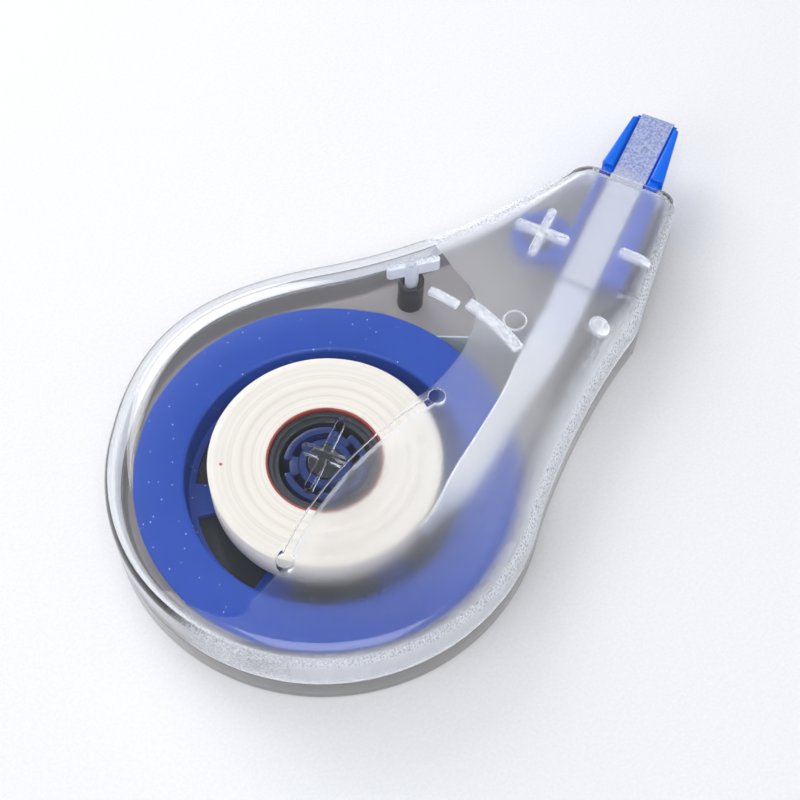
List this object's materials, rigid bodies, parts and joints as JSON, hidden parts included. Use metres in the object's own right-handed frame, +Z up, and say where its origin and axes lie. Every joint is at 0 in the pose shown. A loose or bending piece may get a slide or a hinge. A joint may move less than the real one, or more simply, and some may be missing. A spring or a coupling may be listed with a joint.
{
  "type": "correction tape roller",
  "caption": "Drop-shaped tape roller with a clear cover, smoky base, coaxial supply pack and take-up wheel, and a blue transfer head.",
  "frame": {"origin": "centre of the base's flat underside, on the reels' axis", "axes": "+Z up along the reels' axis, +X from the axis to the tip of the transfer head"},
  "size_m": [0.0975, 0.0546, 0.0129],
  "materials": {
    "clear_cover": "clear moulded polystyrene, polished window, frosted rest",
    "smoky_shell": "smoky grey translucent polystyrene, glossy",
    "blue_plastic": "moulded blue plastic, satin",
    "dark_core": "moulded dark grey plastic",
    "fresh_tape": "wound coated paper tape, cream white",
    "red_tape": "printed end-of-tape marker",
    "used_tape": "bare glassine carrier tape"
  },
  "bodies": {
    "case": {"upper_cover": "clear_cover", "lower_shell": "smoky_shell", "transfer_head": "blue_plastic", "supply_run": "fresh_tape", "head_tape": "fresh_tape", "return_run": "used_tape"},
    "supply_reel": {"supply_core": "dark_core", "tape_pack": "fresh_tape", "end_marker": "red_tape"},
    "takeup_reel": {"takeup_wheel": "blue_plastic", "takeup_winding": "used_tape"}
  },
  "joints": [
    {"name": "supply_spin", "type": "hinge", "parent": "case", "child": "supply_reel", "pos_m": [0, 0, 0.0075], "axis": [0, 0, 1], "continuous": true},
    {"name": "takeup_spin", "type": "hinge", "parent": "case", "child": "takeup_reel", "pos_m": [0, 0, 0.003], "axis": [0, 0, 1], "continuous": true}
  ],
  "couplings": [
    {"joint": "supply_spin", "follows": "takeup_spin", "ratio": 1.366}
  ]
}
